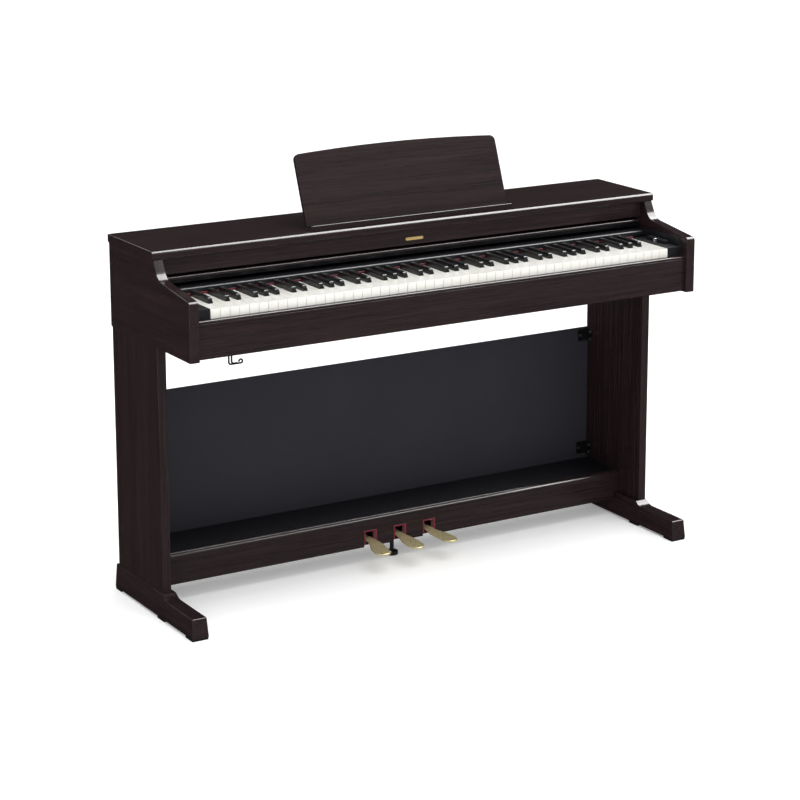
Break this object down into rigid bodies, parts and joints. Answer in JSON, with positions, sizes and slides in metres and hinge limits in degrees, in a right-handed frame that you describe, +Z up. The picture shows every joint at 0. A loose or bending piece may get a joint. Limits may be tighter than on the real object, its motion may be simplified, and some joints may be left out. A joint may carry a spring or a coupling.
{
  "type": "digital piano on stand",
  "caption": "Console digital piano on its own stand, with a full keyboard, sliding key cover, folding music rest, speakers, headphone sockets and pedals.",
  "frame": {"origin": "on the floor, at the middle of the overall width and depth", "axes": "+X to the player's right along the keyboard, +Y from the player towards the back, +Z up"},
  "size_m": [1.357, 0.422, 1.0227],
  "materials": {
    "rosewood": "satin dark veneer",
    "rosewood_light": "satin dark veneer",
    "dark_board": "matt paint",
    "black_plastic": "fine matt grain",
    "ivory": "polished",
    "ebony": "satin",
    "felt": "felt",
    "brass": "polished",
    "steel": "brushed",
    "speaker": "matt",
    "circuit": "solder mask",
    "frame_plastic": "moulded",
    "rubber": "matt"
  },
  "bodies": {
    "piano": {"top_board": "rosewood", "left_cheek": "rosewood", "right_cheek": "rosewood", "key_slip": "rosewood", "key_bed": "dark_board", "case_back": "dark_board", "fascia_board": "rosewood", "badge": "brass", "cover_guides": "black_plastic", "control_panel": "black_plastic", "left_end_block": "black_plastic", "right_end_block": "black_plastic", "key_felts": "felt", "key_frame": "frame_plastic", "key_pivot_rod": "steel", "circuit_boards": "circuit", "speakers": "speaker", "jack_box": "black_plastic", "headphone_hook": "speaker", "rest_base": "rosewood_light", "rest_hinges": "black_plastic", "left_side_panel": "rosewood", "right_side_panel": "rosewood", "left_foot": "rosewood", "right_foot": "rosewood", "foot_pads": "rubber", "back_board": "dark_board", "corner_brackets": "speaker", "stand_screws": "steel", "pedal_box": "black_plastic", "pedal_box_front": "rosewood", "pedal_felts": "felt", "pedal_axle": "steel", "pedal_springs": "steel"},
    "cover_carriage": {"cover_shaft": "steel"},
    "key_cover": {"key_cover_board": "rosewood", "key_cover_rail": "rosewood_light"},
    "music_rest": {"rest_plate": "rosewood_light"},
    "rest_props": {"rest_props": "steel"},
    "left_pedal": {"left_pedal": "brass"},
    "middle_pedal": {"middle_pedal": "brass"},
    "right_pedal": {"right_pedal": "brass"},
    "power_button": {"power_button": "black_plastic"},
    "volume_knob": {"volume_knob": "steel"},
    "voice_button": {"voice_button": "black_plastic"},
    "metronome_button": {"metronome_button": "black_plastic"},
    "record_button": {"record_button": "black_plastic"},
    "pedal_adjuster": {"pedal_adjuster": "black_plastic"},
    "keys_c": {"keys_c": "ivory"},
    "keys_c_sharp": {"keys_c_sharp": "ebony"},
    "keys_d": {"keys_d": "ivory"},
    "keys_d_sharp": {"keys_d_sharp": "ebony"},
    "keys_e": {"keys_e": "ivory"},
    "keys_f": {"keys_f": "ivory"},
    "keys_f_sharp": {"keys_f_sharp": "ebony"},
    "keys_g": {"keys_g": "ivory"},
    "keys_g_sharp": {"keys_g_sharp": "ebony"},
    "keys_a": {"keys_a": "ivory"},
    "keys_a_sharp": {"keys_a_sharp": "ebony"},
    "keys_b": {"keys_b": "ivory"}
  },
  "joints": [
    {"name": "cover_slide", "type": "slide", "parent": "piano", "child": "cover_carriage", "axis": [0, -1, 0], "range_m": [0, 0.178]},
    {"name": "cover_tilt", "type": "hinge", "parent": "cover_carriage", "child": "key_cover", "pos_m": [0, 0.169, 0.78], "axis": [1, 0, 0], "range_deg": [0, 5.66]},
    {"name": "music_rest_fold", "type": "hinge", "parent": "piano", "child": "music_rest", "pos_m": [0, 0.013, 0.856], "axis": [1, 0, 0], "range_deg": [-69.5, 0]},
    {"name": "rest_props_fold", "type": "hinge", "parent": "music_rest", "child": "rest_props", "pos_m": [0, 0.03682, 0.91115], "axis": [1, 0, 0], "range_deg": [0, 132.3]},
    {"name": "left_pedal_press", "type": "hinge", "parent": "piano", "child": "left_pedal", "pos_m": [0, 0.129, 0.067], "axis": [1, 0, 0], "range_deg": [0, 5], "stiffness_Nm_per_rad": 18, "springref_deg": -3.5, "deforming": ["pedal_springs"]},
    {"name": "middle_pedal_press", "type": "hinge", "parent": "piano", "child": "middle_pedal", "pos_m": [0, 0.129, 0.067], "axis": [1, 0, 0], "range_deg": [0, 5], "stiffness_Nm_per_rad": 18, "springref_deg": -3.5, "deforming": ["pedal_springs"]},
    {"name": "right_pedal_press", "type": "hinge", "parent": "piano", "child": "right_pedal", "pos_m": [0, 0.129, 0.067], "axis": [1, 0, 0], "range_deg": [0, 5], "stiffness_Nm_per_rad": 18, "springref_deg": -3.5, "deforming": ["pedal_springs"]},
    {"name": "power_button_press", "type": "slide", "parent": "piano", "child": "power_button", "axis": [0, 0, -1], "range_m": [0, 0.0025], "stiffness_N_per_m": 300, "springref_m": -0.001},
    {"name": "voice_button_press", "type": "slide", "parent": "piano", "child": "voice_button", "axis": [0, 0, -1], "range_m": [0, 0.0015], "stiffness_N_per_m": 300, "springref_m": -0.001},
    {"name": "metronome_button_press", "type": "slide", "parent": "piano", "child": "metronome_button", "axis": [0, 0, -1], "range_m": [0, 0.0015], "stiffness_N_per_m": 300, "springref_m": -0.001},
    {"name": "record_button_press", "type": "slide", "parent": "piano", "child": "record_button", "axis": [0, 0, -1], "range_m": [0, 0.0015], "stiffness_N_per_m": 300, "springref_m": -0.001},
    {"name": "volume_slide", "type": "slide", "parent": "piano", "child": "volume_knob", "axis": [0, 1, 0], "range_m": [-0.02, 0.02]},
    {"name": "pedal_adjuster_lift", "type": "slide", "parent": "piano", "child": "pedal_adjuster", "axis": [0, 0, 1], "range_m": [0, 0.008]},
    {"name": "keys_c_press", "type": "hinge", "parent": "piano", "child": "keys_c", "pos_m": [0, 0.034, 0.733], "axis": [1, 0, 0], "range_deg": [0, 2.6], "stiffness_Nm_per_rad": 8, "springref_deg": -12.89},
    {"name": "keys_c_sharp_press", "type": "hinge", "parent": "piano", "child": "keys_c_sharp", "pos_m": [0, 0.034, 0.733], "axis": [1, 0, 0], "range_deg": [0, 2.6], "stiffness_Nm_per_rad": 7, "springref_deg": -7.45},
    {"name": "keys_d_press", "type": "hinge", "parent": "piano", "child": "keys_d", "pos_m": [0, 0.034, 0.733], "axis": [1, 0, 0], "range_deg": [0, 2.6], "stiffness_Nm_per_rad": 7, "springref_deg": -12.89},
    {"name": "keys_d_sharp_press", "type": "hinge", "parent": "piano", "child": "keys_d_sharp", "pos_m": [0, 0.034, 0.733], "axis": [1, 0, 0], "range_deg": [0, 2.6], "stiffness_Nm_per_rad": 7, "springref_deg": -7.45},
    {"name": "keys_e_press", "type": "hinge", "parent": "piano", "child": "keys_e", "pos_m": [0, 0.034, 0.733], "axis": [1, 0, 0], "range_deg": [0, 2.6], "stiffness_Nm_per_rad": 7, "springref_deg": -12.89},
    {"name": "keys_f_press", "type": "hinge", "parent": "piano", "child": "keys_f", "pos_m": [0, 0.034, 0.733], "axis": [1, 0, 0], "range_deg": [0, 2.6], "stiffness_Nm_per_rad": 7, "springref_deg": -12.89},
    {"name": "keys_f_sharp_press", "type": "hinge", "parent": "piano", "child": "keys_f_sharp", "pos_m": [0, 0.034, 0.733], "axis": [1, 0, 0], "range_deg": [0, 2.6], "stiffness_Nm_per_rad": 7, "springref_deg": -7.45},
    {"name": "keys_g_press", "type": "hinge", "parent": "piano", "child": "keys_g", "pos_m": [0, 0.034, 0.733], "axis": [1, 0, 0], "range_deg": [0, 2.6], "stiffness_Nm_per_rad": 7, "springref_deg": -12.89},
    {"name": "keys_g_sharp_press", "type": "hinge", "parent": "piano", "child": "keys_g_sharp", "pos_m": [0, 0.034, 0.733], "axis": [1, 0, 0], "range_deg": [0, 2.6], "stiffness_Nm_per_rad": 7, "springref_deg": -7.45},
    {"name": "keys_a_press", "type": "hinge", "parent": "piano", "child": "keys_a", "pos_m": [0, 0.034, 0.733], "axis": [1, 0, 0], "range_deg": [0, 2.6], "stiffness_Nm_per_rad": 8, "springref_deg": -12.89},
    {"name": "keys_a_sharp_press", "type": "hinge", "parent": "piano", "child": "keys_a_sharp", "pos_m": [0, 0.034, 0.733], "axis": [1, 0, 0], "range_deg": [0, 2.6], "stiffness_Nm_per_rad": 8, "springref_deg": -7.45},
    {"name": "keys_b_press", "type": "hinge", "parent": "piano", "child": "keys_b", "pos_m": [0, 0.034, 0.733], "axis": [1, 0, 0], "range_deg": [0, 2.6], "stiffness_Nm_per_rad": 8, "springref_deg": -12.89}
  ],
  "couplings": [
    {"joint": "cover_tilt", "follows": "cover_slide", "rad_per_m": 0.554},
    {"joint": "rest_props_fold", "follows": "music_rest_fold", "ratio": -1.9022}
  ]
}
